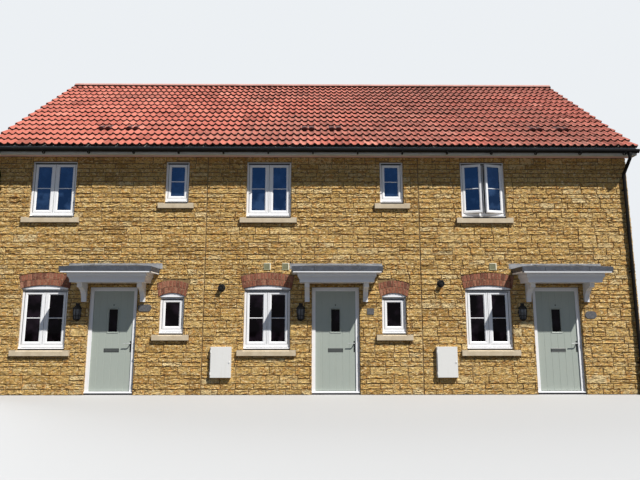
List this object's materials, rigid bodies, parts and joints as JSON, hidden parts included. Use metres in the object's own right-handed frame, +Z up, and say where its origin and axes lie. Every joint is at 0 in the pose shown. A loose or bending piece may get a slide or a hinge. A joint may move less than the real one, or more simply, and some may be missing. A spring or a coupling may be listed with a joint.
{
  "type": "terraced house row",
  "caption": "Row of two-storey stone terraced houses with a red pantile roof, brick-arched windows, canopied green doors that swing inwards and wall-hung meter boxes.",
  "frame": {"origin": "on the ground under the middle of the row's bounding box", "axes": "+X along the row to the right seen from the street, -Y towards the street, +Z up"},
  "size_m": [13.42, 8.83, 8.0086],
  "materials": {
    "stone": "pitched-face buff stone laid in courses",
    "blockwork": "plain blockwork",
    "concrete": "trowelled concrete",
    "floor_boards": "chipboard deck",
    "clay_tiles": "matt orange-red clay, weathered",
    "white_plastic": "satin white",
    "black_plastic": "black, slightly shiny",
    "sealant": "matt",
    "red_brick": "rough red brick",
    "cast_stone": "smooth cream cast stone",
    "glass": "clear, dark behind",
    "lead": "dull lead grey",
    "black_metal": "satin black",
    "slate": "smooth",
    "tan_plastic": "matt buff",
    "green_door": "sage green, fine woodgrain, satin"
  },
  "bodies": {
    "house": {"front_wall_left": "stone", "front_wall_middle_left": "stone", "front_wall_middle_right": "stone", "front_wall_right": "stone", "front_wall_over_doors": "stone", "rear_wall": "stone", "gable_wall_left": "stone", "gable_wall_right": "stone", "party_walls": "blockwork", "ground_floors": "concrete", "first_floors": "floor_boards", "roof_front": "clay_tiles", "roof_rear": "clay_tiles", "ridge_tiles": "clay_tiles", "fascias": "white_plastic", "soffits": "white_plastic", "gutters": "black_plastic", "downpipes": "black_plastic", "movement_joints": "sealant", "brick_arches": "red_brick", "window_sills": "cast_stone", "upper_windows": "white_plastic", "lower_windows": "white_plastic", "open_casements": "white_plastic", "rear_windows": "white_plastic", "upper_glass": "glass", "lower_glass": "glass", "rear_glass": "glass", "door_frames": "white_plastic", "canopies": "white_plastic", "canopy_roofs": "lead", "canopy_brackets": "white_plastic", "wall_lanterns": "black_metal", "number_plaques": "slate", "wall_vents": "tan_plastic", "boiler_flues": "black_plastic", "meter_boxes": "white_plastic"},
    "door_1": {"door_1": "green_door", "door_1_glass": "glass", "door_1_handles": "black_metal"},
    "door_2": {"door_2": "green_door", "door_2_glass": "glass", "door_2_handles": "black_metal"},
    "door_3": {"door_3": "green_door", "door_3_glass": "glass", "door_3_handles": "black_metal"},
    "meter_door_2": {"meter_door_2": "white_plastic"},
    "meter_door_3": {"meter_door_3": "white_plastic"}
  },
  "joints": [
    {"name": "door_1_hinge", "type": "hinge", "parent": "house", "child": "door_1", "pos_m": [-4.433, -3.6475, 1.05], "axis": [0, 0, 1], "range_deg": [0, 90]},
    {"name": "door_2_hinge", "type": "hinge", "parent": "house", "child": "door_2", "pos_m": [0.047, -3.6475, 1.05], "axis": [0, 0, 1], "range_deg": [0, 90]},
    {"name": "door_3_hinge", "type": "hinge", "parent": "house", "child": "door_3", "pos_m": [4.527, -3.6475, 1.05], "axis": [0, 0, 1], "range_deg": [0, 90]},
    {"name": "meter_door_2_hinge", "type": "hinge", "parent": "house", "child": "meter_door_2", "pos_m": [-2.012, -3.871, 0.63], "axis": [0, 0, -1], "range_deg": [0, 110]},
    {"name": "meter_door_3_hinge", "type": "hinge", "parent": "house", "child": "meter_door_3", "pos_m": [2.468, -3.871, 0.63], "axis": [0, 0, -1], "range_deg": [0, 110]}
  ]
}
